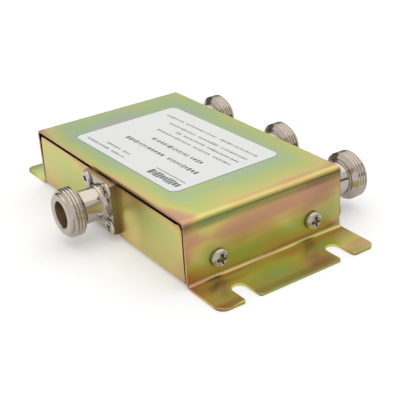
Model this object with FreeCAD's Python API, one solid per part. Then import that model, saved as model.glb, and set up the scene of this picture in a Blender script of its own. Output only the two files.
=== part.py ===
"""Three-way RF power splitter: two folded zinc-plated sheets, four flanged coaxial jacks, a microstrip board.

X runs along the walls that carry the jacks, -Y is the input side, +Y the output side, +Z is up.
The origin is at the middle of the underside of the two feet. All lengths are in millimetres.
"""
import FreeCAD, Part
import math
import os

V = FreeCAD.Vector

# Cover: foot, end wall, top, end wall and foot in one sheet; its length and height follow from the jacks
sheet = 0.8
cover_depth = 57.4
cover_bend_inner = 1.2
foot_length = 16.1
foot_corner = 3.0
slot_width = 4.9
slot_depth = 8.9
slot_spacing = 35.0
slot_mouth_corner = 1.0

# Tray: bottom, two walls that carry the jacks, two end flaps that take the cover's screws
tray_lift = 0.6
tray_bend_inner = 0.2
lid_gap = 1.1
end_gap = 0.2
wall_foot_gap = 0.35
wall_top_gap = 1.6
wall_corner = 1.5
flap_height = 11.0
flap_corner = 2.0
flap_relief = 4.5

# Label
label_width = 59.5
label_depth = 41.0
label_thickness = 0.15
label_corner = 2.5
label_centre_x = -1.5
label_centre_y = -0.7
label_turn = 1.4

# Cover screws, M3, and the clinch nuts that take them
cover_screw_thread = 3.0
cover_screw_head = 6.0
cover_screw_head_height = 2.2
cover_screw_length = 6.0
cover_screw_hole = 3.4
cover_screw_spacing = 35.2
cover_screw_height = 6.5
clinch_body = 6.3
clinch_height = 1.5
clinch_shank = 4.2

# Jacks: distances run outwards from the outer face of the tray's wall
outer_output = 36.1
middle_output = 2.2
flange_side = 17.5
flange_thickness = 2.0
flange_corner = 1.0
flange_hole_spacing = 12.7
flange_hole = 3.2
boss = 10.5
boss_clearance = 0.25
collar = 12.2
collar_length = 1.3
collar_ease = 0.3
barrel = 10.9
stake_hole = 1.2
stake_depth = 0.8
stake_place = 5.2
stake_angle = -13.0
head_start = 9.4
head_rear = 13.0
head_bevel = 1.1
thread_major = 15.875
head_length = 6.2
lip = 13.8
lip_length = 1.3
lip_chamfer = 0.4
mouth = 9.0
socket_bore = 8.2
socket_depth = 9.0
bead = 7.0
bead_collar = 8.5
bead_collar_depth = 1.0
bead_tail = 2.0
contact = 3.04
contact_bore = 1.65
contact_bore_depth = 4.6
contact_recess = 4.4
contact_slot = 0.35
contact_slot_depth = 3.6
pin = 1.3
pin_length = 5.0

# Flange screws and nuts, M3, with the turn of each screw's cross in degrees
flange_screw_thread = 3.0
flange_screw_head = 4.9
flange_screw_head_height = 1.5
flange_screw_length = 6.0
flange_screw_turns = (20, 65, 40, 5)
nut_flats = 5.5
nut_height = 2.4
nut_bend_gap = 0.1
nut_lid_gap = 0.5
nut_end_gap = 0.375

# Pan head: the rim, shoulder and crown of its outline, and its cross recess, as shares of the head
pan_rim = 0.45
pan_shoulder = (0.89, 0.84)
pan_crown = 0.62
recess_span = 0.6
recess_width = 0.17
recess_depth = 0.55

# Board, its lines and chips, and the spacers and M2.5 screws that hold it
board_thickness = 1.5
board_end_gap = 4.6
board_side_gap = 2.7
board_hole_clearance = 0.15
track_thickness = 0.1
feed_width = 2.8
line_width = 1.2
junction_y = -14.0
loop_reach = (9.0, 12.0)
loop_step = 4.0
resistor_rows = (-2.0, 10.0)
fan_out_y = 15.0
resistor_length = 2.5
resistor_width = 1.6
resistor_height = 0.6
resistor_overlap = 0.45
solder_radius = 1.5
solder_height = 1.2
solder_shoulder = (0.8, 0.6)
solder_crown = 0.4
spacer = 5.0
spacer_shank = 4.2
spacer_margin_x = 5.4
spacer_margin_front = 7.2
spacer_margin_back = 5.6
board_screw_thread = 2.5
board_screw_head = 4.6
board_screw_head_height = 1.7
board_screw_length = 6.0

# Clearance round parts that are pressed or screwed home, and how far a cutting tool runs past a face
fit_clearance = 0.02
overcut = 1.0

# Places worked out from the sizes above; the box closes round the outermost flange nuts
bend_outer = cover_bend_inner + sheet
tray_bend_outer = tray_bend_inner + sheet
tray_floor = tray_lift + sheet
nut_reach = (flange_hole_spacing + nut_flats) / 2
nut_side_reach = flange_hole_spacing / 2 + nut_flats / math.sqrt(3)
jack_height = tray_floor + tray_bend_inner + nut_bend_gap + nut_reach
cover_height = jack_height + nut_reach + nut_lid_gap + sheet
cover_inside = outer_output + nut_side_reach + nut_end_gap
half_length = cover_inside + sheet
half_depth = cover_depth / 2
foot_end = half_length + foot_length
flap_face = cover_inside - end_gap
wall_top = cover_height - sheet - lid_gap
wall_inner_y = half_depth - sheet
head_end = head_start + head_length
reference_plane = head_end - socket_depth
track_top = jack_height - pin / 2
board_top = track_top - track_thickness
board_bottom = board_top - board_thickness
board_half_x = cover_inside - board_end_gap
board_half_y = wall_inner_y - board_side_gap
line_pitch = resistor_length - 2 * resistor_overlap + line_width
jacks = {
    "input": (0.0, -1),
    "output_1": (-outer_output, 1),
    "output_2": (middle_output, 1),
    "output_3": (outer_output, 1),
}


def box(low, high):
    """Box between two opposite corners."""
    size = [b - a for a, b in zip(low, high)]
    return Part.makeBox(size[0], size[1], size[2], V(*low))


def rod(radius, start, length, direction=V(0, 0, 1)):
    return Part.makeCylinder(radius, length, start, direction)


def turned(profile):
    """Solid of revolution about Z from (radius, height) points; the first and last lie on the axis."""
    points = [V(r, 0, h) for r, h in profile]
    face = Part.Face(Part.makePolygon(points + [points[0]]))
    return face.revolve(V(0, 0, 0), V(0, 0, 1), 360)


def join(shapes):
    whole = shapes[0].multiFuse(shapes[1:])
    return whole.removeSplitter().Solids[0]


def rectangle(low_x, low_y, high_x, high_y):
    return [(low_x, low_y), (high_x, low_y), (high_x, high_y), (low_x, high_y)]


def rounded_plate(points, radii, thickness, to_space):
    """Flat plate from corner points and a radius for each corner; to_space maps (u, v, w) to a vector."""
    corners = []
    for i, radius in enumerate(radii):
        here = V(points[i][0], points[i][1], 0)
        before = V(points[i - 1][0], points[i - 1][1], 0)
        after = V(points[(i + 1) % len(points)][0], points[(i + 1) % len(points)][1], 0)
        back = (before - here).normalize()
        on = (after - here).normalize()
        half_angle = back.getAngle(on) / 2
        reach = radius / math.tan(half_angle)
        middle = (back + on).normalize() * (radius / math.sin(half_angle) - radius)
        ends = (here + back * reach, here + middle, here + on * reach)
        corners.append([to_space(p.x, p.y, 0) for p in ends])
    outline = []
    for i, radius in enumerate(radii):
        if radius > 0:
            outline.append(Part.Arc(*corners[i]).toShape())
        outline.append(Part.makeLine(corners[i][2], corners[(i + 1) % len(corners)][0]))
    face = Part.Face(Part.Wire(outline))
    return face.extrude(to_space(0, 0, thickness) - to_space(0, 0, 0))


def flat(u, v, w):
    """Plate in the XY plane."""
    return V(u, v, w)


def upright(u, v, w):
    """Plate in the XZ plane, thickness along +Y."""
    return V(u, w, v)


def endwise(u, v, w):
    """Plate in the YZ plane, thickness along +X."""
    return V(w, u, v)


def folded(path, inner_radius, low, high, to_space):
    """Sheet bent along a path: the path is one face, the other lies to its left; it runs from low to high."""
    points = [V(a, b, 0) for a, b in path]
    runs = [(q - p).normalize() for p, q in zip(points, points[1:])]
    normals = [V(-r.y, r.x, 0) for r in runs]
    other = [points[0] + normals[0] * sheet]
    for i in range(1, len(points) - 1):
        mitre = (normals[i - 1] + normals[i]).normalize()
        other.append(points[i] + mitre * (sheet / mitre.dot(normals[i])))
    other.append(points[-1] + normals[-1] * sheet)
    outline = [(p.x, p.y) for p in points + other[::-1]]
    radii = [0.0] * len(outline)
    for i in range(1, len(points) - 1):
        bends_left = runs[i - 1].cross(runs[i]).z > 0
        radii[i] = inner_radius + sheet if bends_left else inner_radius
        radii[len(outline) - 1 - i] = inner_radius if bends_left else inner_radius + sheet
    plate = rounded_plate(outline, radii, high - low, to_space)
    plate.translate(to_space(0, 0, low))
    return plate


def half_turn(shape):
    """Copy turned half round about Z, for the other end of the box."""
    other = shape.copy()
    other.rotate(V(0, 0, 0), V(0, 0, 1), 180)
    return other


def pan_screw(thread, head, head_height, length):
    """Pan-head screw along +Z with its bearing face at z = 0 and a cross recess."""
    shank = thread / 2
    radius = head / 2
    rim = head_height * pan_rim
    shoulder = V(radius * pan_shoulder[0], 0, head_height * pan_shoulder[1])
    crown = V(radius * pan_crown, 0, head_height)
    outline = [
        Part.makeLine(V(0, 0, -length), V(shank, 0, -length)),
        Part.makeLine(V(shank, 0, -length), V(shank, 0, 0)),
        Part.makeLine(V(shank, 0, 0), V(radius, 0, 0)),
        Part.makeLine(V(radius, 0, 0), V(radius, 0, rim)),
        Part.Arc(V(radius, 0, rim), shoulder, crown).toShape(),
        Part.makeLine(crown, V(0, 0, head_height)),
        Part.makeLine(V(0, 0, head_height), V(0, 0, -length)),
    ]
    solid = Part.Face(Part.Wire(outline)).revolve(V(0, 0, 0), V(0, 0, 1), 360)
    span = head * recess_span / 2
    width = head * recess_width / 2
    floor = head_height * (1 - recess_depth)
    for a, b in ((span, width), (width, span)):
        solid = solid.cut(box((-a, -b, floor), (a, b, head_height)))
    return solid


def hex_nut(flats, height, hole):
    """Hexagon nut from z = 0 to its height, two flats level."""
    corner = flats / math.sqrt(3)
    turns = [math.radians(a) for a in range(0, 360, 60)]
    ring = [V(corner * math.cos(a), corner * math.sin(a), 0) for a in turns]
    body = Part.Face(Part.makePolygon(ring + [ring[0]])).extrude(V(0, 0, height))
    return body.cut(rod(hole / 2, V(0, 0, 0), height))


def on_wall(shape, name):
    """Turn a shape from its own axis, +Z outwards, to its jack's place on the wall."""
    x, side = jacks[name]
    placed = shape.copy()
    placed.rotate(V(0, 0, 0), V(1, 0, 0), 90)
    if side > 0:
        placed = half_turn(placed)
    placed.translate(V(x, side * half_depth, jack_height))
    return placed


def on_end(shape, side, y, x):
    """Turn a shape from its own axis, +Z outwards, to a cover screw's place, with its zero plane at x."""
    placed = shape.copy()
    placed.rotate(V(0, 0, 0), V(0, 1, 0), 90 * side)
    placed.translate(V(side * x, y, cover_screw_height))
    return placed


def flange_places():
    half = flange_hole_spacing / 2
    return [(a * half, b * half) for a in (-1, 1) for b in (-1, 1)]


def end_places():
    """The end of the box and the place along Y of each cover screw."""
    half = cover_screw_spacing / 2
    return [(side, y) for side in (-1, 1) for y in (-half, half)]


def spacer_places():
    """Two spacers by the board's front corners, two between the output jacks."""
    front = (board_half_x - spacer_margin_x, spacer_margin_front - board_half_y)
    back = (outer_output / 2, board_half_y - spacer_margin_back)
    return [(side * x, y) for x, y in (front, back) for side in (-1, 1)]


def through_sheet(radius):
    """Round tool through a sheet whose outer face is the zero plane."""
    return rod(radius, V(0, 0, -sheet - overcut), sheet + 2 * overcut)


def make_cover():
    """One folded sheet; both feet have rounded corners and two open-ended slots."""
    path = [(foot_end, sheet), (half_length, sheet), (half_length, cover_height),
            (-half_length, cover_height), (-half_length, sheet), (-foot_end, sheet)]
    body = folded(path, cover_bend_inner, -half_depth, half_depth, upright)
    foot_start = half_length - bend_outer
    foot = rounded_plate(rectangle(foot_start, -half_depth, foot_end, half_depth),
                         [0, foot_corner, foot_corner, 0], bend_outer, flat)
    corners = box((foot_start, -half_depth, 0), (foot_end, half_depth, bend_outer)).cut(foot)
    for tool in (corners, foot_slot(-slot_spacing / 2), foot_slot(slot_spacing / 2)):
        body = body.cut(tool)
        body = body.cut(half_turn(tool))
    for side, y in end_places():
        body = body.cut(on_end(through_sheet(cover_screw_hole / 2), side, y, half_length))
    return body


def foot_slot(y):
    """Tool for one slot of the +X foot: a round inner end, and eased corners at the open end."""
    r = slot_width / 2
    low = -overcut
    high = sheet + overcut
    inner_x = foot_end - slot_depth + r
    ease_x = foot_end - slot_mouth_corner
    wide = r + slot_mouth_corner
    tool = rod(r, V(inner_x, y, low), high - low).fuse(box((inner_x, y - r, low), (foot_end, y + r, high)))
    flare = box((ease_x, y - wide, low), (foot_end, y + wide, high))
    for way in (-1, 1):
        flare = flare.cut(rod(slot_mouth_corner, V(ease_x, y + way * wide, low), high - low))
    return tool.fuse(flare)


def make_tray():
    """One folded sheet, pierced for the jacks, the clinch nuts and the board's spacers."""
    pan_half = flap_face - tray_bend_outer
    root = tray_lift + tray_bend_outer
    pieces = [folded([(-half_depth, root + sheet), (-half_depth, tray_lift), (half_depth, tray_lift),
                      (half_depth, root + sheet)], tray_bend_inner, -pan_half, pan_half, endwise)]
    low = cover_inside - wall_foot_gap
    high = cover_inside - wall_top_gap
    corners = [(-low, root), (low, root), (high, wall_top), (-high, wall_top)]
    for y in (-half_depth, wall_inner_y):
        wall = rounded_plate(corners, [0, 0, wall_corner, wall_corner], sheet, upright)
        wall.translate(V(0, y, 0))
        pieces.append(wall)
    flap_half = half_depth - flap_relief
    bend = folded([(pan_half - sheet, tray_lift), (flap_face, tray_lift), (flap_face, root + sheet)],
                  tray_bend_inner, -flap_half, flap_half, upright)
    flap = rounded_plate(rectangle(-flap_half, root, flap_half, tray_lift + flap_height),
                         [0, 0, flap_corner, flap_corner], sheet, endwise)
    flap.translate(V(flap_face - sheet, 0, 0))
    end = bend.fuse(flap)
    tray = join(pieces + [end, half_turn(end)])
    for name in jacks:
        tray = tray.cut(on_wall(through_sheet(boss / 2 + boss_clearance), name))
        for a, b in flange_places():
            hole = through_sheet(flange_hole / 2)
            hole.translate(V(a, b, 0))
            tray = tray.cut(on_wall(hole, name))
    for side, y in end_places():
        tray = tray.cut(on_end(through_sheet(clinch_shank / 2 + fit_clearance), side, y, flap_face))
    for x, y in spacer_places():
        start = V(x, y, tray_lift - overcut)
        tray = tray.cut(rod(spacer_shank / 2 + fit_clearance, start, sheet + 2 * overcut))
    return tray


def make_label():
    half_width = label_width / 2
    half_side = label_depth / 2
    label = rounded_plate(rectangle(-half_width, -half_side, half_width, half_side),
                          [label_corner] * 4, label_thickness, flat)
    label.rotate(V(0, 0, 0), V(0, 0, 1), label_turn)
    label.translate(V(label_centre_x, label_centre_y, cover_height))
    return label


def make_cover_screws():
    screw = pan_screw(cover_screw_thread, cover_screw_head, cover_screw_head_height, cover_screw_length)
    return [on_end(screw, side, y, half_length) for side, y in end_places()]


def make_cover_nuts():
    """Round clinch nuts pressed into the flaps from inside; the shank ends flush with the flap's face."""
    back = -sheet - clinch_height
    nut = turned([(0, back), (clinch_body / 2, back), (clinch_body / 2, -sheet),
                  (clinch_shank / 2, -sheet), (clinch_shank / 2, 0), (0, 0)])
    nut = nut.cut(rod(cover_screw_thread / 2 + fit_clearance, V(0, 0, back), -back))
    return [on_end(nut, side, y, flap_face) for side, y in end_places()]


def make_shell():
    """Turned body: square flange, collar, barrel with a stake hole, head with a lip, stepped bore."""
    collar_end = flange_thickness + collar_length
    bevel_end = head_start + head_bevel
    thread_end = head_end - lip_length
    body = turned([
        (0, -sheet), (boss / 2, -sheet), (boss / 2, flange_thickness / 2), (collar / 2, flange_thickness / 2),
        (collar / 2, collar_end), (barrel / 2, collar_end + collar_ease),
        (barrel / 2, head_start), (head_rear / 2, head_start), (thread_major / 2, bevel_end),
        (thread_major / 2, thread_end), (lip / 2, thread_end), (lip / 2, head_end - lip_chamfer),
        (lip / 2 - lip_chamfer, head_end), (0, head_end)])
    half = flange_side / 2
    flange = rounded_plate(rectangle(-half, -half, half, half), [flange_corner] * 4, flange_thickness, flat)
    shell = join([body, flange])
    back = -sheet - overcut
    front = head_end + overcut
    mouth_bevel = (mouth - socket_bore) / 2
    shell = shell.cut(turned([
        (0, back), (bead_collar / 2, back), (bead_collar / 2, bead_collar_depth),
        (bead / 2, bead_collar_depth), (bead / 2, reference_plane), (socket_bore / 2, reference_plane),
        (socket_bore / 2, head_end - mouth_bevel), (mouth / 2, head_end), (mouth / 2, front), (0, front)]))
    for a, b in flange_places():
        shell = shell.cut(rod(flange_hole / 2, V(a, b, -overcut), flange_thickness + 2 * overcut))
    floor = V(barrel / 2 - stake_depth, 0, stake_place)
    stake = rod(stake_hole / 2, floor, stake_depth + overcut, V(1, 0, 0))
    stake.rotate(V(0, 0, 0), V(0, 0, 1), stake_angle)
    return shell.cut(stake)


def make_insulator():
    """PTFE bead pushed in from behind, flush with the reference plane inside the mouth."""
    tail = -sheet - bead_tail
    wide = bead_collar / 2 - fit_clearance
    narrow = bead / 2 - fit_clearance
    body = turned([(0, tail), (wide, tail), (wide, bead_collar_depth), (narrow, bead_collar_depth),
                   (narrow, reference_plane), (0, reference_plane)])
    return body.cut(rod(contact / 2, V(0, 0, tail), reference_plane - tail))


def make_contact():
    """Slotted socket contact with a solder pin behind."""
    tip = head_end - contact_recess
    tail = -sheet - bead_tail
    radius = contact / 2 - fit_clearance
    body = turned([(0, tail - pin_length), (pin / 2, tail - pin_length), (pin / 2, tail), (radius, tail),
                   (radius, tip), (0, tip)])
    body = body.cut(rod(contact_bore / 2, V(0, 0, tip - contact_bore_depth), contact_bore_depth))
    for a, b in ((contact, contact_slot), (contact_slot, contact)):
        body = body.cut(box((-a / 2, -b / 2, tip - contact_slot_depth), (a / 2, b / 2, tip)))
    return body


def make_flange_screws(name):
    screw = pan_screw(flange_screw_thread, flange_screw_head, flange_screw_head_height, flange_screw_length)
    screws = []
    for (a, b), turn in zip(flange_places(), flange_screw_turns):
        one = screw.copy()
        one.rotate(V(0, 0, 0), V(0, 0, 1), turn)
        one.translate(V(a, b, flange_thickness))
        screws.append(on_wall(one, name))
    return screws


def make_flange_nuts(name):
    nut = hex_nut(nut_flats, nut_height, flange_screw_thread + 2 * fit_clearance)
    nuts = []
    for a, b in flange_places():
        one = nut.copy()
        one.translate(V(a, b, -sheet - nut_height))
        nuts.append(on_wall(one, name))
    return nuts


def make_board():
    board = box((-board_half_x, -board_half_y, board_bottom), (board_half_x, board_half_y, board_top))
    hole = board_screw_thread / 2 + board_hole_clearance
    for x, y in spacer_places():
        board = board.cut(rod(hole, V(x, y, board_bottom), board_thickness))
    return board


def strip(points, width):
    """Copper line of one width along straight runs."""
    half = width / 2
    runs = []
    for (x0, y0), (x1, y1) in zip(points, points[1:]):
        low = (min(x0, x1) - half, min(y0, y1) - half, board_top)
        high = (max(x0, x1) + half, max(y0, y1) + half, track_top)
        runs.append(box(low, high))
    return runs


def make_tracks():
    """Feed line, three branches that meet at two rows of resistors, and three output lines."""
    feed_end = board_half_y - feed_width / 2
    pieces = strip([(0, -feed_end), (0, junction_y)], feed_width)
    pieces += strip([(0, junction_y), (0, fan_out_y), (middle_output, fan_out_y)], line_width)
    pieces += strip([(middle_output, fan_out_y), (middle_output, feed_end)], feed_width)
    for side in (-1, 1):
        near = side * line_pitch
        path = [(0, junction_y)]
        start = junction_y
        for reach, row in zip(loop_reach, resistor_rows):
            path += [(side * reach, start), (side * reach, row - loop_step), (near, row - loop_step)]
            start = row + loop_step / 2
            path.append((near, start))
        far = side * outer_output
        path += [(near, fan_out_y), (far, fan_out_y)]
        pieces += strip(path, line_width)
        pieces += strip([(far, fan_out_y), (far, feed_end)], feed_width)
    return join(pieces)


def make_resistors():
    """Chip resistors that bridge the outer lines to the middle one, seated on the copper."""
    half_length_x = resistor_length / 2
    half_width_y = resistor_width / 2
    chips = []
    for row in resistor_rows:
        for middle in (-line_pitch / 2, line_pitch / 2):
            chips.append(box((middle - half_length_x, row - half_width_y, track_top),
                             (middle + half_length_x, row + half_width_y, track_top + resistor_height)))
    return chips


def make_spacers():
    """Round threaded spacers clinched into the tray's bottom."""
    spacers = []
    for x, y in spacer_places():
        body = join([rod(spacer / 2, V(x, y, tray_floor), board_bottom - tray_floor),
                     rod(spacer_shank / 2, V(x, y, tray_lift), sheet)])
        bore = rod(board_screw_thread / 2 + fit_clearance, V(x, y, tray_floor), board_bottom - tray_floor)
        spacers.append(body.cut(bore))
    return spacers


def make_board_screws():
    screw = pan_screw(board_screw_thread, board_screw_head, board_screw_head_height, board_screw_length)
    screws = []
    for x, y in spacer_places():
        one = screw.copy()
        one.translate(V(x, y, board_top))
        screws.append(one)
    return screws


def make_solder_joints():
    """Solder round each pin, on the end of its line."""
    pin_middle = half_depth - sheet - bead_tail - pin_length / 2
    reach = min(pin_middle, board_half_y - solder_radius)
    wide, level = solder_shoulder
    blob = turned([(0, 0), (solder_radius, 0), (solder_radius * wide, solder_height * level),
                   (solder_radius * solder_crown, solder_height), (0, solder_height)])
    joints = []
    for x, side in jacks.values():
        joint = blob.copy()
        joint.translate(V(x, side * reach, track_top))
        start = side * reach - solder_radius - overcut
        groove = rod(pin / 2, V(x, start, jack_height), 2 * (solder_radius + overcut), V(0, 1, 0))
        joints.append(joint.cut(groove))
    return joints


def save(name, shapes):
    solids = shapes if isinstance(shapes, list) else [shapes]
    shape = solids[0] if len(solids) == 1 else Part.makeCompound(solids)
    shape.exportStep("parts/%s.step" % name)
    volume = sum(s.Volume for s in solids)
    print("%-24s %2d solid(s)  %9.2f mm3  valid %s" % (name, len(shape.Solids), volume, shape.isValid()))


os.makedirs("parts", exist_ok=True)
save("cover", make_cover())
save("base_tray", make_tray())
save("label", make_label())
save("cover_screws", make_cover_screws())
save("cover_nuts", make_cover_nuts())
shell = make_shell()
insulator = make_insulator()
centre_contact = make_contact()
for jack in jacks:
    save(jack + "_shell", on_wall(shell, jack))
    save(jack + "_insulator", on_wall(insulator, jack))
    save(jack + "_contact", on_wall(centre_contact, jack))
    save(jack + "_flange_screws", make_flange_screws(jack))
    save(jack + "_flange_nuts", make_flange_nuts(jack))
save("circuit_board", make_board())
save("splitter_tracks", make_tracks())
save("isolation_resistors", make_resistors())
save("board_spacers", make_spacers())
save("board_screws", make_board_screws())
save("solder_joints", make_solder_joints())
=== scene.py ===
import math
import random

import bmesh
import bpy
from mathutils import Matrix, Vector


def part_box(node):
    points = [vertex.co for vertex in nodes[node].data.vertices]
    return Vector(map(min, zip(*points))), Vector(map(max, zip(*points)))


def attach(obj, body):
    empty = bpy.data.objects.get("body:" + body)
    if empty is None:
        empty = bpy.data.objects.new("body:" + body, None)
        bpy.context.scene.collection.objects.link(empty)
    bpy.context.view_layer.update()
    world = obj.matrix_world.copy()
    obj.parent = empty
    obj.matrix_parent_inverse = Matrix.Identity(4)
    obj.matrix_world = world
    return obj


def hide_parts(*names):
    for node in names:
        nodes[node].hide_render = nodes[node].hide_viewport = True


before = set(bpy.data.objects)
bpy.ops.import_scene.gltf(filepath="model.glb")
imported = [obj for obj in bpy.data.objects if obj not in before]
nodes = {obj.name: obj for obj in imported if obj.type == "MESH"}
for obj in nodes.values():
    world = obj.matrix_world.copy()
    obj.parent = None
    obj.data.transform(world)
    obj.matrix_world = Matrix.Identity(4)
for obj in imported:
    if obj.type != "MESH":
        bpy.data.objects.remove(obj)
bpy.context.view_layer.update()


# Tray
# The lower half of the box is one piece of 0.8 mm steel, punched flat and folded, then zinc plated and
# given a yellow passivation. Its film is pale khaki over the middle of a wall, pink and gold at the edges.

MM = 0.001


def srgb(red, green, blue):
    """Colour given as it looks on a screen, 0 to 255, as the linear values that a shader takes."""
    linear = []
    for value in (red, green, blue):
        share = value / 255
        linear.append(share / 12.92 if share <= 0.04045 else ((share + 0.055) / 1.055) ** 2.4)
    return (*linear, 1.0)


FILM_COLOURS = (
    (0.00, srgb(184, 142, 112)),
    (0.14, srgb(192, 156, 108)),
    (0.30, srgb(198, 182, 112)),
    (0.50, srgb(178, 185, 106)),
    (0.68, srgb(165, 181, 124)),
    (0.86, srgb(155, 178, 143)),
    (1.00, srgb(168, 168, 154)),
)
SHEET_ROUGHNESS = 0.32
MERGE_DISTANCE = 1e-6
BEND_ANGLE = 32.0


def ramp(tree, fac, stops, interpolation="EASE"):
    """Colour ramp from a link through the given places and colours, or greys."""
    node = tree.nodes.new("ShaderNodeValToRGB")
    node.color_ramp.interpolation = interpolation
    elements = node.color_ramp.elements
    for i, (place, colour) in enumerate(stops):
        element = elements[i] if i < 2 else elements.new(place)
        element.position = place
        element.color = colour if isinstance(colour, tuple) else (colour, colour, colour, 1.0)
    tree.links.new(fac, node.inputs["Fac"])
    return node.outputs["Color"]


def calculate(tree, operation, first, second=0.0, third=None):
    """Math node on links or plain numbers."""
    node = tree.nodes.new("ShaderNodeMath")
    node.operation = operation
    for socket, value in zip(node.inputs, (first, second, third)):
        if value is None:
            continue
        if isinstance(value, (int, float)):
            socket.default_value = value
        else:
            tree.links.new(value, socket)
    return node.outputs[0]


def clouds(tree, coordinates, scale, detail, seed, spread, middle=0.0):
    """Soft noise that spreads about a middle value."""
    node = tree.nodes.new("ShaderNodeTexNoise")
    node.noise_dimensions = "4D"
    node.inputs["W"].default_value = seed
    node.inputs["Scale"].default_value = scale
    node.inputs["Detail"].default_value = detail
    tree.links.new(coordinates, node.inputs["Vector"])
    return calculate(tree, "MULTIPLY_ADD", node.outputs["Fac"], spread, middle - spread / 2)


def spot(tree, coordinates, place, radius):
    """1 in the middle of a round patch of the given radius, falling to 0 at its edge."""
    distance = tree.nodes.new("ShaderNodeVectorMath")
    distance.operation = "DISTANCE"
    tree.links.new(coordinates, distance.inputs[0])
    distance.inputs[1].default_value = place
    nearness = calculate(tree, "MULTIPLY_ADD", distance.outputs["Value"], -1 / radius, 1.0)
    return calculate(tree, "MAXIMUM", nearness, 0.0)


def passivation_and_painted_light_group():
    """Film colour from the film's thickness, with drifting clouds in it and fine wear in the gloss, times the
    Shade input, a level of painted light and shade.
    """
    group = bpy.data.node_groups.new("yellow_passivation_and_painted_light", "ShaderNodeTree")
    group.interface.new_socket("Vector", in_out="INPUT", socket_type="NodeSocketVector")
    group.interface.new_socket("Film", in_out="INPUT", socket_type="NodeSocketFloat")
    group.interface.new_socket("Shade", in_out="INPUT", socket_type="NodeSocketFloat")
    group.interface.new_socket("Color", in_out="OUTPUT", socket_type="NodeSocketColor")
    group.interface.new_socket("Roughness", in_out="OUTPUT", socket_type="NodeSocketFloat")
    entry = group.nodes.new("NodeGroupInput")
    leave = group.nodes.new("NodeGroupOutput")
    drift = clouds(group, entry.outputs["Vector"], scale=38.0, detail=1.0, seed=3.1, spread=0.7)
    film = calculate(group, "ADD", entry.outputs["Film"], drift)
    shade = group.nodes.new("ShaderNodeMix")
    shade.data_type = "RGBA"
    shade.blend_type = "MULTIPLY"
    shade.inputs["Factor"].default_value = 1.0
    group.links.new(ramp(group, film, FILM_COLOURS, "LINEAR"), shade.inputs["A"])
    group.links.new(entry.outputs["Shade"], shade.inputs["B"])
    group.links.new(shade.outputs["Result"], leave.inputs["Color"])
    gloss = clouds(group, entry.outputs["Vector"], scale=160.0, detail=3.0, seed=8.4, spread=0.12,
                   middle=SHEET_ROUGHNESS)
    group.links.new(gloss, leave.inputs["Roughness"])
    return group


film_and_painted_light_group = passivation_and_painted_light_group()


def new_material(name, colour=None, metallic=0.0, roughness=0.5):
    """Material with a Principled shader, its tree and the shader."""
    material = bpy.data.materials.new(name)
    material.use_nodes = True
    shader = material.node_tree.nodes["Principled BSDF"]
    if colour:
        shader.inputs["Base Color"].default_value = colour
    shader.inputs["Metallic"].default_value = metallic
    shader.inputs["Roughness"].default_value = roughness
    return material, material.node_tree, shader


def object_axes(tree):
    """Object coordinates as a vector and as three lengths in metres."""
    coordinates = tree.nodes.new("ShaderNodeTexCoord").outputs["Object"]
    split = tree.nodes.new("ShaderNodeSeparateXYZ")
    tree.links.new(coordinates, split.inputs["Vector"])
    return coordinates, split.outputs


def add_film_and_painted_light(tree, shader, coordinates, film, shade):
    """Puts the passivation group, with its painted light and shade, in front of a sheet's shader."""
    group = tree.nodes.new("ShaderNodeGroup")
    group.node_tree = film_and_painted_light_group
    tree.links.new(coordinates, group.inputs["Vector"])
    tree.links.new(film, group.inputs["Film"])
    tree.links.new(shade, group.inputs["Shade"])
    tree.links.new(group.outputs["Color"], shader.inputs["Base Color"])
    tree.links.new(group.outputs["Roughness"], shader.inputs["Roughness"])


def finish_piece(mesh, name, material, sharp, *replaced):
    """Links a mesh as a piece of the object that stands for CAD nodes."""
    mesh.materials.clear()
    mesh.materials.append(material)
    mesh.polygons.foreach_set("material_index", [0] * len(mesh.polygons))
    if mesh.has_custom_normals:
        mesh.normals_split_custom_set([(0.0, 0.0, 0.0)] * len(mesh.loops))
    mesh.shade_smooth()
    mesh.set_sharp_from_angle(angle=math.radians(sharp))
    piece = bpy.data.objects.new(name, mesh)
    bpy.context.scene.collection.objects.link(piece)
    weighted = piece.modifiers.new("flat_faces_first", "WEIGHTED_NORMAL")
    weighted.mode = "FACE_AREA"
    weighted.weight = 100
    weighted.keep_sharp = True
    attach(piece, "root")
    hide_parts(*replaced)
    return piece


def smooth_copy(node, name, material):
    """Copy of a CAD node with its triangles joined, so that bends and turned faces shade smoothly."""
    mesh = nodes[node].data.copy()
    shape = bmesh.new()
    shape.from_mesh(mesh)
    bmesh.ops.remove_doubles(shape, verts=shape.verts, dist=MERGE_DISTANCE)
    shape.to_mesh(mesh)
    shape.free()
    return finish_piece(mesh, name, material, BEND_ANGLE, node)


tray_low, tray_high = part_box("base_tray")
TRAY_END_ZONE = 45 * MM
TRAY_FILM_FROM_END = (
    (0.0, 0.30), (0.2, 0.36), (0.45, 0.42), (0.62, 0.40), (0.76, 0.38), (0.85, 0.30), (1.0, 0.3),
)
TRAY_FILM_LOSS_BY_HEIGHT = ((0.0, 0.14), (0.2, 0.06), (0.75, 0.02), (0.9, 0.12), (1.0, 0.26))
# Painted light: the wall's film colour is multiplied by this level, which grows towards the upper edge.
TRAY_SHADE_BY_HEIGHT = ((0.0, 1.02), (1.0, 1.12))
# Painted light: a patch on the front wall just right of the input's flange is lightened over the flange's
# reflection and shadow, and its film is made a little pinker.
PAINTED_LIGHT_PATCH = (0.0125, tray_low.y, 0.010)
PAINTED_LIGHT_PATCH_RADIUS = 11 * MM
PAINTED_LIGHT_PATCH_LEVEL = 0.9
PAINTED_LIGHT_PATCH_FILM = -0.1


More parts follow.
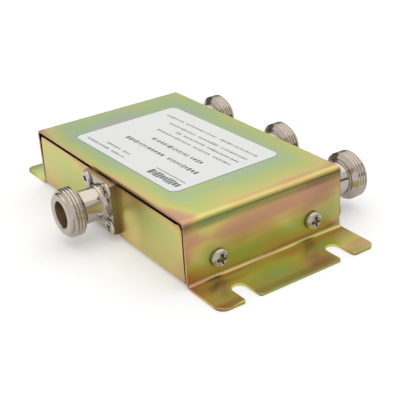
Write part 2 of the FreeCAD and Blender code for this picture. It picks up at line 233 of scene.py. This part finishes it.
def tray_material():
    """Film that changes from the ends of a wall to its middle and from its foot to its upper edge, under
    painted light that grows towards the upper edge and a painted light patch beside the input's flange.
    """
    material, tree, shader = new_material("passivated_tray", metallic=1.0)
    coordinates, axes = object_axes(tree)
    wander = clouds(tree, coordinates, scale=26.0, detail=1.0, seed=9.2, spread=0.3)
    from_end = calculate(tree, "SUBTRACT", tray_high.x, calculate(tree, "ABSOLUTE", axes["X"]))
    from_end = calculate(tree, "DIVIDE", from_end, TRAY_END_ZONE)
    height = calculate(tree, "DIVIDE", axes["Z"], tray_high.z)
    loss = ramp(tree, height, TRAY_FILM_LOSS_BY_HEIGHT)
    film = calculate(tree, "SUBTRACT", ramp(tree, from_end, TRAY_FILM_FROM_END), loss)
    film = calculate(tree, "ADD", film, wander)
    # Painted light beside the input's flange.
    painted_light = spot(tree, coordinates, PAINTED_LIGHT_PATCH, PAINTED_LIGHT_PATCH_RADIUS)
    film = calculate(tree, "MULTIPLY_ADD", painted_light, PAINTED_LIGHT_PATCH_FILM, film)
    shade = ramp(tree, height, TRAY_SHADE_BY_HEIGHT)
    shade = calculate(tree, "MULTIPLY_ADD", painted_light, PAINTED_LIGHT_PATCH_LEVEL, shade)
    add_film_and_painted_light(tree, shader, coordinates, film, shade)
    return material


tray = smooth_copy("base_tray", "folded_tray", tray_material())


# Board and what holds it
# A strip of microwave laminate with etched copper lines stands on four clinched spacers inside the box.
# Pins of the jacks are soldered to the lines, and chip resistors bridge the branches.

LAMINATE_COLOUR = srgb(178, 186, 150)
COPPER_COLOUR = srgb(214, 150, 104)
RESISTOR_COLOUR = srgb(38, 38, 42)
SOLDER_COLOUR = srgb(205, 206, 208)
ZINC_COLOUR = srgb(196, 198, 200)

laminate = new_material("laminate", LAMINATE_COLOUR, 0.0, 0.5)[0]
copper = new_material("etched_copper", COPPER_COLOUR, 1.0, 0.32)[0]
chip_black = new_material("resistor_ceramic", RESISTOR_COLOUR, 0.0, 0.4)[0]
solder = new_material("bright_solder", SOLDER_COLOUR, 1.0, 0.22)[0]
bright_zinc = new_material("bright_zinc", ZINC_COLOUR, 1.0, 0.3)[0]
inside = (
    ("circuit_board", "microstrip_board", laminate, "laminate"),
    ("splitter_tracks", "etched_lines", copper, "copper"),
    ("isolation_resistors", "chip_resistors", chip_black, "resistor_body"),
    ("board_spacers", "clinched_spacers", bright_zinc, "bright_zinc"),
    ("board_screws", "board_pan_screws", bright_zinc, "bright_zinc"),
    ("solder_joints", "pin_solder", solder, "solder"),
)
for node, name, material, slot in inside:
    piece = smooth_copy(node, name, material)


# Coaxial jacks
# Each jack is a turned brass body with a square flange, plated with nickel: behind the flange a boss enters
# the wall, in front stand a collar, a barrel and a threaded head with a plain lip round the mouth.

NICKEL_COLOUR = srgb(180, 170, 158)
# The flange's sawn sides are rougher than the turned faces. Their colours are painted reflections: olive on
# the sides, where the yellow wall shows in them, and a warm tan on the upper sides.
FLANGE_SIDE_PAINTED_REFLECTION = srgb(118, 108, 88)
FLANGE_TOP_PAINTED_REFLECTION = srgb(172, 144, 112)
# The bore is rougher than the outside. Its lighter, warmer colour is painted light that shows the inside of
# the mouth lit.
BORE_PAINTED_LIGHT = srgb(190, 164, 138)
NICKEL_ROUGHNESS = 0.15
JACK_SIDES = {"input": -1, "output_1": 1, "output_2": 1, "output_3": 1}
PAINTED_SIDE_REFLECTION_SLOT = 1
PAINTED_TOP_REFLECTION_SLOT = 2
PAINTED_BORE_LIGHT_SLOT = 3

# Heights of the turned body count outwards from the wall. The part below CUT stays the solid's own mesh.

wall_y = tray_high.y
SEGMENTS = 120
CUT = 9.2 * MM
BARREL_R = 5.45 * MM
HEAD_START = 9.4 * MM
HEAD_REAR_R = 6.3 * MM
BEVEL_END = 10.8 * MM
MAJOR_R = 7.9375 * MM
THREAD_END = 14.5 * MM
LIP_R = 6.9 * MM
LIP_CHAMFER = 0.4 * MM
HEAD_END = 15.6 * MM
MOUTH_R = 4.6 * MM
BORE_R = 4.35 * MM
FLANGE_THICKNESS = 2.0 * MM
FLANGE_HALF = 8.75 * MM
FLANGE_EDGE_ZONE = 1 * MM
PITCH = 25.4 / 24 * MM
THREAD_DEPTH = 0.42 * MM
STEPS_PER_PITCH = 14
FLANK_TOP = 1.15
FLANK_SLOPE = 3.6
RUN_OUT = 0.3 * PITCH
HEAD_ANGLE = 24.0


def nickel_material():
    """Bright nickel, with the fine uneven gloss of plated turned brass."""
    material, tree, shader = new_material("bright_nickel", NICKEL_COLOUR, 1.0, NICKEL_ROUGHNESS)
    coordinates = object_axes(tree)[0]
    gloss = clouds(tree, coordinates, scale=260.0, detail=1.0, seed=1.3, spread=0.08,
                   middle=NICKEL_ROUGHNESS)
    tree.links.new(gloss, shader.inputs["Roughness"])
    return material


def head_outline():
    """Half section of the head as radius and height, in short steps where the thread is cut."""
    mouth_bevel = MOUTH_R - BORE_R
    outline = [
        (BORE_R, CUT),
        (BORE_R, HEAD_END - mouth_bevel),
        (MOUTH_R, HEAD_END),
        (LIP_R - LIP_CHAMFER, HEAD_END),
        (LIP_R, HEAD_END - LIP_CHAMFER),
        (LIP_R, THREAD_END),
    ]
    steps = int((THREAD_END - HEAD_START) / PITCH * STEPS_PER_PITCH)
    for i in range(steps + 1):
        height = THREAD_END + (HEAD_START - THREAD_END) * i / steps
        up_bevel = (height - HEAD_START) / (BEVEL_END - HEAD_START)
        bevel_r = HEAD_REAR_R + (MAJOR_R - HEAD_REAR_R) * up_bevel
        outline.append((min(MAJOR_R, bevel_r), height))
    outline += [(BARREL_R, HEAD_START), (BARREL_R, CUT)]
    return outline


def turned_head():
    """Threaded head as a closed ring about Z, zero at the wall's outer face, with a true right-hand helix."""
    shape = bmesh.new()
    verts = [shape.verts.new((radius, 0.0, height)) for radius, height in head_outline()]
    edges = [shape.edges.new((verts[i - 1], verts[i])) for i in range(len(verts))]
    bmesh.ops.spin(shape, geom=verts + edges, cent=(0, 0, 0), axis=(0, 0, 1), angle=math.tau,
                   steps=SEGMENTS, use_merge=True, use_duplicate=False)
    for vert in shape.verts:
        radius = vert.co.xy.length
        if radius < MAJOR_R - THREAD_DEPTH:
            continue
        turn = math.atan2(vert.co.y, vert.co.x) / math.tau
        phase = (vert.co.z / PITCH - turn) % 1.0
        depth = THREAD_DEPTH * min(1.0, max(0.0, FLANK_TOP - abs(phase - 0.5) * FLANK_SLOPE))
        below_end = THREAD_END - vert.co.z
        if below_end < RUN_OUT:
            depth = max(depth, THREAD_DEPTH * (1 - below_end / RUN_OUT))
        vert.co.xy *= min(radius, MAJOR_R - depth) / radius
    bmesh.ops.recalc_face_normals(shape, faces=shape.faces)
    return shape


def jack_axis(node):
    """Middle of a jack's box, which its axis goes through."""
    low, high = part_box(node)
    return (low + high) / 2


def jack_place(node, side):
    """Turns a shape about +Z outwards to its jack's place on a wall."""
    axis = jack_axis(node)
    place = Matrix.Translation((axis.x, side * wall_y, axis.z))
    if side > 0:
        place = place @ Matrix.Rotation(math.pi, 4, "Z")
    return place @ Matrix.Rotation(math.pi / 2, 4, "X")


def finish_jack(mesh, axis, side):
    """Gives the flange's sawn sides their painted reflections, one for the upper sides and one for the rest,
    and the bore its painted light.
    """
    for polygon in mesh.polygons:
        out = side * polygon.center.y - wall_y
        radius = math.hypot(polygon.center.x - axis.x, polygon.center.z - axis.z)
        faces_out = abs(polygon.normal.y)
        if 0 < out < FLANGE_THICKNESS and faces_out < 0.1 and radius > FLANGE_HALF - FLANGE_EDGE_ZONE:
            polygon.material_index = PAINTED_TOP_REFLECTION_SLOT if polygon.normal.z > 0.5 else PAINTED_SIDE_REFLECTION_SLOT
        elif out > CUT and radius < MOUTH_R and faces_out < 0.5:
            polygon.material_index = PAINTED_BORE_LIGHT_SLOT


nickel = nickel_material()
flange_side_painted_reflection = new_material("sawn_flange_side_painted_reflection", FLANGE_SIDE_PAINTED_REFLECTION, 1.0, 0.36)[0]
flange_top_painted_reflection = new_material("sawn_flange_top_painted_reflection", FLANGE_TOP_PAINTED_REFLECTION, 1.0, 0.6)[0]
reamed_bore_painted_light = new_material("reamed_bore_painted_light", BORE_PAINTED_LIGHT, 1.0, 0.42)[0]
head_shape = turned_head()
head_mesh = bpy.data.meshes.new("turned_head")
head_shape.to_mesh(head_mesh)
head_shape.free()
for jack, side in JACK_SIDES.items():
    node = jack + "_shell"
    shape = bmesh.new()
    shape.from_mesh(nodes[node].data)
    bmesh.ops.remove_doubles(shape, verts=shape.verts, dist=MERGE_DISTANCE)
    everything = shape.verts[:] + shape.edges[:] + shape.faces[:]
    cut = bmesh.ops.bisect_plane(shape, geom=everything, dist=1e-7, plane_co=(0, side * (wall_y + CUT), 0),
                                 plane_no=(0, side, 0), clear_outer=True)
    rim = [item for item in cut["geom_cut"] if isinstance(item, bmesh.types.BMEdge)]
    bmesh.ops.bridge_loops(shape, edges=rim)
    bmesh.ops.recalc_face_normals(shape, faces=shape.faces)
    head = head_mesh.copy()
    head.transform(jack_place(node, side))
    shape.from_mesh(head)
    bpy.data.meshes.remove(head)
    mesh = bpy.data.meshes.new(jack + "_body")
    shape.to_mesh(mesh)
    shape.free()
    piece = finish_piece(mesh, jack + "_turned_body", nickel, HEAD_ANGLE, node)
    for finish in (flange_side_painted_reflection, flange_top_painted_reflection, reamed_bore_painted_light):
        mesh.materials.append(finish)
    finish_jack(mesh, jack_axis(node), side)
bpy.data.meshes.remove(head_mesh)


# Inside of the jacks
# A white PTFE bead is pushed in from behind and carries the gold-plated contact, a slotted spring socket.

PTFE_COLOUR = srgb(226, 222, 212)
GOLD_COLOUR = srgb(226, 186, 112)
ptfe = new_material("white_ptfe", PTFE_COLOUR, 0.0, 0.45)[0]
gold = new_material("gold_plate", GOLD_COLOUR, 1.0, 0.2)[0]
for jack in JACK_SIDES:
    bead = smooth_copy(jack + "_insulator", jack + "_bead", ptfe)
    contact = smooth_copy(jack + "_contact", jack + "_socket_contact", gold)


# Flange screws and nuts
# Four M3 screws with low round heads and a cross recess hold each flange, with hexagon nuts inside the wall.

SCREW_COLOUR = srgb(196, 190, 180)
# Painted shade: the cross recesses are coloured darker than the heads, for the shade inside them.
RECESS_PAINTED_SHADE = srgb(66, 58, 50)
FLANGE_HEAD = (1.5 * MM, 2.45 * MM)
SEEN_FLANGE_HEAD = (0.95 * MM, 2.55 * MM, 0.1)
SEEN_FLANGE_RECESS = (0.86, -0.3 * MM)
SCREW_ANGLE = 40.0
SLACK = 0.01 * MM

# In the solids the recess's floor lies at this share of the head's height, within this share of its radius.

RECESS_FLOOR = 0.45
RECESS_REACH = 0.62
plated_screw = new_material("plated_screw", SCREW_COLOUR, 1.0, 0.26)[0]
screw_recess_painted_shade = new_material("screw_recess_painted_shade", RECESS_PAINTED_SHADE, 1.0, 0.5)[0]


def dressed_screws(node, name, along, across, old_head, new_head, recess, finish):
    """Screws of a CAD node with their heads formed anew.

    The head's height is measured outwards along one axis, and the screws are told apart on the axes across.
    A head is its height and radius, and for the new one the share by which its crown falls towards the rim.
    The recess is the share that its span keeps and the height of its floor. The finish is the head's material
    and the recess's, whose darker colour is painted shade.
    """
    head_height, head_r = old_head
    new_height, new_r, dome = new_head
    recess_size, recess_floor = recess
    shape = bmesh.new()
    shape.from_mesh(nodes[node].data)
    bmesh.ops.remove_doubles(shape, verts=shape.verts, dist=MERGE_DISTANCE)
    low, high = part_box(node)
    middle = (low + high) / 2
    groups = {}
    for vert in shape.verts:
        key = tuple(vert.co[axis] > middle[axis] for axis in across) + (vert.co[along] > 0,)
        groups.setdefault(key, []).append(vert)
    reach = head_r * RECESS_REACH
    new_reach = reach * recess_size
    floor_verts = set()
    for verts in groups.values():
        way = 1 if verts[0].co[along] > 0 else -1
        sides = [axis for axis in range(3) if axis != along]
        centre = [(min(v.co[a] for v in verts) + max(v.co[a] for v in verts)) / 2 for a in sides]
        seat = max(way * v.co[along] for v in verts) - head_height
        for vert in verts:
            height = way * vert.co[along] - seat
            if height < -SLACK:
                continue
            offset = Vector((vert.co[sides[0]] - centre[0], vert.co[sides[1]] - centre[1]))
            radius = offset.length
            if radius < reach and abs(height - head_height * RECESS_FLOOR) < 2 * SLACK:
                floor_verts.add(vert)
                height = recess_floor
            else:
                height *= new_height / head_height * (1 - dome * (radius / head_r) ** 2)
            if radius < reach:
                grown = radius * recess_size
            else:
                grown = new_reach + (radius - reach) / (head_r - reach) * (new_r - new_reach)
            if radius > MERGE_DISTANCE:
                offset *= grown / radius
            vert.co[along] = way * (seat + height)
            vert.co[sides[0]] = centre[0] + offset.x
            vert.co[sides[1]] = centre[1] + offset.y
    recessed = [any(v in floor_verts for v in face.verts) for face in shape.faces]
    mesh = bpy.data.meshes.new(name)
    shape.to_mesh(mesh)
    shape.free()
    piece = finish_piece(mesh, name, finish[0], SCREW_ANGLE, node)
    mesh.materials.append(finish[1])
    # Faces that touch the recess's floor take the painted shade.
    mesh.polygons.foreach_set("material_index", [int(in_recess) for in_recess in recessed])
    return piece


for jack in JACK_SIDES:
    screws = dressed_screws(jack + "_flange_screws", jack + "_pan_screws", 1, (0, 2), FLANGE_HEAD,
                            SEEN_FLANGE_HEAD, SEEN_FLANGE_RECESS, (plated_screw, screw_recess_painted_shade))
    nuts = smooth_copy(jack + "_flange_nuts", jack + "_hex_nuts", bright_zinc)


# Cover
# The cover is folded from one strip of 0.8 mm steel: foot, end wall, top, end wall and foot, with two open
# slots in each foot. The passivation lies in pink, gold and green bands. Painted shade darkens the strip
# under the bends and at the foot's end, and a painted light level along it lightens the feet and darkens the
# top.

cover_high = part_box("cover")[1]
top_z = cover_high.z
foot_end = cover_high.x
end_wall_x = foot_end - 16 * MM

# Place along the strip, from the middle of the top at 0 to the end of the foot at 1, with film or with a
# level of painted light and shade.

COVER_FILM = (
    (0.00, 0.80), (0.33, 0.78), (0.37, 0.77), (0.43, 0.60), (0.49, 0.50), (0.54, 0.36), (0.570, 0.50),
    (0.600, 0.26), (0.630, 0.14), (0.660, 0.40), (0.72, 0.66), (0.765, 0.50), (0.795, 0.22),
    (0.810, 0.56), (0.835, 0.40), (0.88, 0.66), (0.925, 0.60), (0.955, 0.36), (1.0, 0.48),
)
COVER_SHADE = (
    (0.00, 0.88), (0.40, 0.88), (0.548, 0.90), (0.562, 0.76), (0.574, 0.48), (0.586, 0.52),
    (0.61, 1.02), (0.64, 1.04), (0.69, 1.0), (0.76, 0.84), (0.80, 0.76), (0.810, 1.1),
    (0.820, 1.1), (0.88, 1.26), (0.94, 1.02), (0.97, 0.66),
)
COVER_RIM = ((0.0, 0.42), (0.2, 0.30), (0.45, 0.20), (0.75, 0.06), (1.0, 0.0))
COVER_RIM_WIDTH = 8 * MM
COVER_TOP_DEPTH = 2.5 * MM
WALL_RIM_SHARE = 0.35
FILM_BASE = 0.29
# Where the painted shade is deeper, the film moves towards green.
FILM_IN_SHADE = -0.3

# Changes per metre: the loss at the rims and the place of the bands from the front to the back of the box,
# and the film from its left to its right.

RIM_TREND = -14.0
BAND_TREND = 0.4
FILM_TREND = -2.6

# Each spot is its middle, its radius and the change of film there.

COVER_SPOTS = (
    ((0.042, -0.026, top_z), 0.018, -0.04),
    ((-0.034, -0.004, top_z), 0.013, 0.34),
    ((-0.010, -0.022, top_z), 0.020, 0.06),
    ((0.036, 0.024, top_z), 0.014, -0.06),
    ((0.034, 0.0, top_z), 0.014, 0.09),
    ((-0.040, 0.024, top_z), 0.014, 0.10),
    ((end_wall_x, -0.020, 0.015), 0.012, 0.22),
    ((end_wall_x, 0.019, 0.014), 0.010, -0.26),
    ((foot_end - 0.009, -0.005, 0.0), 0.010, 0.22),
    ((foot_end - 0.006, 0.009, 0.0), 0.008, -0.34),
)
# Painted shade: a patch on the upper back part of the end wall is darkened.
PAINTED_SHADE_PATCH = (end_wall_x, 0.023, 0.012)
PAINTED_SHADE_PATCH_RADIUS = 11 * MM
PAINTED_SHADE_PATCH_DEPTH = -0.35


def cover_material():
    """Film that changes along the strip, from the middle of the top over the bends to the foot's end, under
    painted light and shade along the strip and a painted shade patch on the end wall.
    """
    material, tree, shader = new_material("passivated_cover", metallic=1.0)
    coordinates, axes = object_axes(tree)
    drop = calculate(tree, "SUBTRACT", top_z, axes["Z"])
    along = calculate(tree, "ADD", calculate(tree, "ABSOLUTE", axes["X"]), drop)
    along = calculate(tree, "DIVIDE", along, foot_end + top_z)
    wander = clouds(tree, coordinates, scale=30.0, detail=1.0, seed=5.7, spread=0.10)
    wander = calculate(tree, "ADD", wander, calculate(tree, "MULTIPLY", axes["Y"], BAND_TREND))
    band = ramp(tree, calculate(tree, "ADD", along, wander), COVER_FILM)
    dark = ramp(tree, along, COVER_SHADE)
    edge = calculate(tree, "SUBTRACT", cover_high.y, calculate(tree, "ABSOLUTE", axes["Y"]))
    rim = ramp(tree, calculate(tree, "DIVIDE", edge, COVER_RIM_WIDTH), COVER_RIM)
    on_top = calculate(tree, "GREATER_THAN", axes["Z"], top_z - COVER_TOP_DEPTH)
    rim_share = calculate(tree, "MULTIPLY_ADD", on_top, 1.0 - WALL_RIM_SHARE, WALL_RIM_SHARE)
    loss = calculate(tree, "MULTIPLY", rim, rim_share)
    loss = calculate(tree, "MULTIPLY", loss, calculate(tree, "MULTIPLY_ADD", axes["Y"], RIM_TREND, 1.0))
    film = calculate(tree, "SUBTRACT", band, loss)
    film = calculate(tree, "ADD", film, calculate(tree, "MULTIPLY", axes["X"], FILM_TREND))
    film = calculate(tree, "MULTIPLY_ADD", dark, FILM_IN_SHADE, calculate(tree, "ADD", film, FILM_BASE))
    for place, radius, change in COVER_SPOTS:
        film = calculate(tree, "MULTIPLY_ADD", spot(tree, coordinates, place, radius), change, film)
    painted_shade = spot(tree, coordinates, PAINTED_SHADE_PATCH, PAINTED_SHADE_PATCH_RADIUS)
    shade = calculate(tree, "MULTIPLY_ADD", painted_shade, PAINTED_SHADE_PATCH_DEPTH, dark)
    add_film_and_painted_light(tree, shader, coordinates, film, shade)
    return material


cover = smooth_copy("cover", "folded_cover", cover_material())


# Cover screws and clinch nuts
# Two M3 pan-head screws at each end go through the cover into clinch nuts in the tray's flaps.

COVER_SCREW_COLOUR = srgb(172, 166, 156)
# Painted shade: the cover screws' recesses are coloured darker than their heads.
COVER_RECESS_PAINTED_SHADE = srgb(112, 102, 90)
COVER_HEAD = (2.2 * MM, 3.0 * MM)
SEEN_COVER_HEAD = (2.0 * MM, 3.0 * MM, 0.25)
SEEN_COVER_RECESS = (1.0, 0.5 * MM)
cover_screw = new_material("polished_screw", COVER_SCREW_COLOUR, 1.0, 0.18)[0]
cover_recess_painted_shade = new_material("cover_screw_recess_painted_shade", COVER_RECESS_PAINTED_SHADE, 1.0, 0.5)[0]
screws = dressed_screws("cover_screws", "cover_pan_screws", 0, (0, 1), COVER_HEAD, SEEN_COVER_HEAD,
                        SEEN_COVER_RECESS, (cover_screw, cover_recess_painted_shade))
nuts = smooth_copy("cover_nuts", "cover_clinch_nuts", bright_zinc)


# Label
# A white self-adhesive paper label with rounded corners lies on the cover, turned a little. Its print is
# generic: a block with a rule and rows of small blocks that spell nothing.

LABEL_SIZE = (59.5 * MM, 41.0 * MM)
LABEL_THICKNESS = 0.15 * MM
LABEL_CORNER = 2.5 * MM
LABEL_TURN = math.radians(1.4)
LABEL_ANGLE = 30.0
PAPER_COLOUR = srgb(230, 231, 229)
INK_COLOUR = srgb(96, 98, 98)
PRINT_SEED = 7
NARROWEST_BLOCK = 0.35
SHORTEST_BLOCK = 0.3
BLOCK_HEIGHTS = (0.72, 0.72, 1.0)
SIDE_MARGIN = 1e-4

# Rows in millimetres: height on the label, block height and width, gap, and the groups' starts and ends.

PRINT_ROWS = (
    (-16.6, 3.0, 2.1, 0.35, ((27.2, 11.2),)),
    (-14.0, 0.35, 30.0, 0.0, ((27.0, 11.3),)),
    (-17.5, 1.1, 1.0, 0.45, ((-3.0, -11.0), (-12.5, -26.5))),
    (-14.8, 1.1, 1.0, 0.45, ((-3.5, -8.0), (-9.5, -17.8))),
    (-7.3, 1.9, 1.5, 0.6, ((23.6, 7.0), (5.0, -17.2))),
    (-1.6, 1.9, 1.4, 0.65, ((18.4, 12.0), (10.5, -10.6))),
    (4.0, 1.1, 0.95, 0.45, ((25.4, 16.0), (14.6, 5.4), (4.0, -15.6))),
    (7.1, 1.1, 0.95, 0.45, ((25.6, 9.0), (7.6, -4.5), (-6.0, -8.8))),
    (10.3, 1.1, 0.95, 0.45, ((25.9, 12.5), (11.0, -0.5), (-2.0, -17.4))),
    (14.2, 1.1, 0.95, 0.45, ((26.0, 6.0), (4.5, -13.0), (-14.4, -24.8))),
)


def print_blocks():
    """Rows of blocks as low and high corners on the label, with widths that vary at random."""
    draw = random.Random(PRINT_SEED)
    blocks = []
    for height, tall, wide, gap, groups in PRINT_ROWS:
        for start, end in groups:
            at = start
            while at - end > SHORTEST_BLOCK:
                width = min(wide * draw.uniform(NARROWEST_BLOCK, 1.0), at - end)
                size = tall * (draw.choice(BLOCK_HEIGHTS) if gap > 0 else 1.0)
                blocks.append((at - width, height - size / 2, at, height + size / 2))
                at -= width + gap
    return blocks


def faces_near(shape, block):
    """Upper faces of the label that a block covers in part, with their edges and corners."""
    x0, y0, x1, y1 = block
    geometry = set()
    for face in shape.faces:
        if face.normal.z < 0.5:
            continue
        xs = [v.co.x / MM for v in face.verts]
        ys = [v.co.y / MM for v in face.verts]
        over_x = min(xs) < x1 - SIDE_MARGIN and max(xs) > x0 + SIDE_MARGIN
        over_y = min(ys) < y1 - SIDE_MARGIN and max(ys) > y0 + SIDE_MARGIN
        if over_x and over_y:
            geometry.add(face)
            geometry.update(face.edges)
            geometry.update(face.verts)
    return list(geometry)


def label_piece():
    """Label cut along the sides of every block, so that ink and paper are faces of one flat sheet."""
    low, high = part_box("label")
    shape = bmesh.new()
    bmesh.ops.create_cube(shape, size=1.0)
    bmesh.ops.scale(shape, vec=(*LABEL_SIZE, LABEL_THICKNESS), verts=shape.verts)
    uprights = [e for e in shape.edges if abs(e.verts[0].co.z - e.verts[1].co.z) > LABEL_THICKNESS / 2]
    bmesh.ops.bevel(shape, geom=uprights, offset=LABEL_CORNER, offset_type="OFFSET", segments=8, profile=0.5,
                    affect="EDGES", material=-1)
    blocks = print_blocks()
    for block in blocks:
        x0, y0, x1, y1 = block
        for x, y, normal in ((x0, 0, (1, 0, 0)), (x1, 0, (1, 0, 0)), (0, y0, (0, 1, 0)), (0, y1, (0, 1, 0))):
            bmesh.ops.bisect_plane(shape, geom=faces_near(shape, block), dist=1e-8,
                                   plane_co=(x * MM, y * MM, 0), plane_no=normal)
    inked = []
    for face in shape.faces:
        middle = face.calc_center_median() / MM
        covered = any(x0 < middle.x < x1 and y0 < middle.y < y1 for x0, y0, x1, y1 in blocks)
        inked.append(int(face.normal.z > 0.5 and covered))
    bmesh.ops.rotate(shape, cent=(0, 0, 0), matrix=Matrix.Rotation(LABEL_TURN, 3, "Z"), verts=shape.verts)
    bmesh.ops.translate(shape, vec=(low + high) / 2, verts=shape.verts)
    mesh = bpy.data.meshes.new("label")
    shape.to_mesh(mesh)
    shape.free()
    piece = finish_piece(mesh, "printed_label", paper, LABEL_ANGLE, "label")
    mesh.materials.append(ink)
    mesh.polygons.foreach_set("material_index", inked)
    return piece


paper = new_material("label_paper", PAPER_COLOUR, 0.0, 0.4)[0]
ink = new_material("label_ink", INK_COLOUR, 0.0, 0.45)[0]
label = label_piece()


# Floor, light and camera
# A white floor, an even room and one large soft lamp overhead, a little behind. Two dark cards and a grey one
# stand out of the camera's sight and give the plated metal something to reflect.

FLOOR_COLOUR = (0.8, 0.8, 0.8, 1.0)
FLOOR_WIDTH = 6.0
ROOM_LEVEL = 0.62
WHITE = (1.0, 1.0, 1.0, 1.0)

# Distance from the middle of the floor in metres, with the brightness that the camera and mirrors see added.

FLOOR_LIFT = ((0.15, 0.3), (0.9, 0.56))

# Each card is its name, its place, its width and height, and its grey level.

CARDS = (
    ("back_card", (-0.50, 0.28, 0.04), (0.5, 0.17), 0.04),
    ("left_card", (-0.52, -0.16, 0.14), (0.5, 0.30), 0.2),
    ("right_card", (0.46, 0.30, 0.03), (0.5, 0.14), 0.04),
)
CARD_AIM = Vector((0, 0, 0.01))
LAMP_PLACE = Vector((-0.10, 0.24, 0.96))
LAMP_SIZE = 1.7
LAMP_POWER = 6.6
SENSOR = 36.0
PHOTO_WIDTH = 400
FOCAL_PIXELS = 893.771
CAMERA_SHIFT = (0.0012, 0.0003)
CAMERA_PLACE = (0.23171, -0.14162, 0.13496)
CAMERA_RIGHT = Vector((0.56335, 0.82416, -0.0584))
CAMERA_UP = Vector((-0.33638, 0.29335, 0.89487))
CAMERA_BACK = Vector((0.75464, -0.48448, 0.44249))


def seen_directly(tree):
    """1 for rays that come from the camera or by way of a mirror or glass."""
    path = tree.nodes.new("ShaderNodeLightPath")
    seen = calculate(tree, "MAXIMUM", path.outputs["Is Camera Ray"], path.outputs["Is Glossy Ray"])
    return calculate(tree, "MAXIMUM", seen, path.outputs["Is Transmission Ray"])


def stage_sheet(name, width, height, material):
    """Flat rectangle about its middle."""
    shape = bmesh.new()
    bmesh.ops.create_grid(shape, x_segments=1, y_segments=1, size=0.5)
    bmesh.ops.scale(shape, vec=(width, height, 1.0), verts=shape.verts)
    mesh = bpy.data.meshes.new(name)
    shape.to_mesh(mesh)
    shape.free()
    mesh.materials.append(material)
    sheet = bpy.data.objects.new(name, mesh)
    bpy.context.scene.collection.objects.link(sheet)
    return sheet


def floor_material():
    """White floor that keeps shadows and grows brighter away from the object, where it meets the room."""
    material, tree, shader = new_material("white_floor", FLOOR_COLOUR, 0.0, 1.0)
    shader.inputs["Specular IOR Level"].default_value = 0.0
    shader.inputs["Emission Color"].default_value = WHITE
    distance = tree.nodes.new("ShaderNodeVectorMath")
    distance.operation = "LENGTH"
    tree.links.new(object_axes(tree)[0], distance.inputs[0])
    lift = ramp(tree, distance.outputs["Value"], FLOOR_LIFT)
    lift = calculate(tree, "MULTIPLY", seen_directly(tree), lift)
    tree.links.new(lift, shader.inputs["Emission Strength"])
    return material


def make_card(name, place, size, level):
    """Upright card that faces the object and shows in reflections only."""
    material = new_material(name, (level, level, level, 1.0), 0.0, 1.0)[0]
    card = stage_sheet(name, *size, material)
    card.location = place
    card.rotation_euler = (CARD_AIM - Vector(place)).to_track_quat("Z", "Y").to_euler()
    card.visible_camera = False
    card.visible_diffuse = False
    card.visible_shadow = False


def make_world():
    """Even room that looks white to the camera and in reflections, and lights the object at a plain level."""
    world = bpy.data.worlds.new("room")
    world.use_nodes = True
    tree = world.node_tree
    background = tree.nodes["Background"]
    level = calculate(tree, "MULTIPLY_ADD", seen_directly(tree), 1.0 - ROOM_LEVEL, ROOM_LEVEL)
    tree.links.new(level, background.inputs["Strength"])
    background.inputs["Color"].default_value = WHITE
    bpy.context.scene.world = world


def make_lamp():
    """Large square lamp that points at the object."""
    lamp = bpy.data.lights.new("soft_lamp", "AREA")
    lamp.shape = "SQUARE"
    lamp.size = LAMP_SIZE
    lamp.energy = LAMP_POWER
    holder = bpy.data.objects.new("soft_lamp", lamp)
    holder.location = LAMP_PLACE
    holder.rotation_euler = (-LAMP_PLACE).to_track_quat("-Z", "Y").to_euler()
    bpy.context.scene.collection.objects.link(holder)


def make_camera():
    """Camera where the photograph's edges put it."""
    camera = bpy.data.cameras.new("camera")
    camera.sensor_width = SENSOR
    camera.lens = FOCAL_PIXELS / PHOTO_WIDTH * SENSOR
    camera.shift_x, camera.shift_y = CAMERA_SHIFT
    camera.clip_start = 0.01
    camera.clip_end = 10.0
    turn = Matrix((CAMERA_RIGHT, CAMERA_UP, CAMERA_BACK)).transposed().to_4x4()
    holder = bpy.data.objects.new("camera", camera)
    holder.matrix_world = Matrix.Translation(CAMERA_PLACE) @ turn
    bpy.context.scene.collection.objects.link(holder)
    bpy.context.scene.camera = holder


floor = stage_sheet("floor", FLOOR_WIDTH, FLOOR_WIDTH, floor_material())
for name, place, size, level in CARDS:
    make_card(name, place, size, level)
make_world()
make_lamp()
make_camera()
bpy.context.scene.view_settings.view_transform = "Standard"
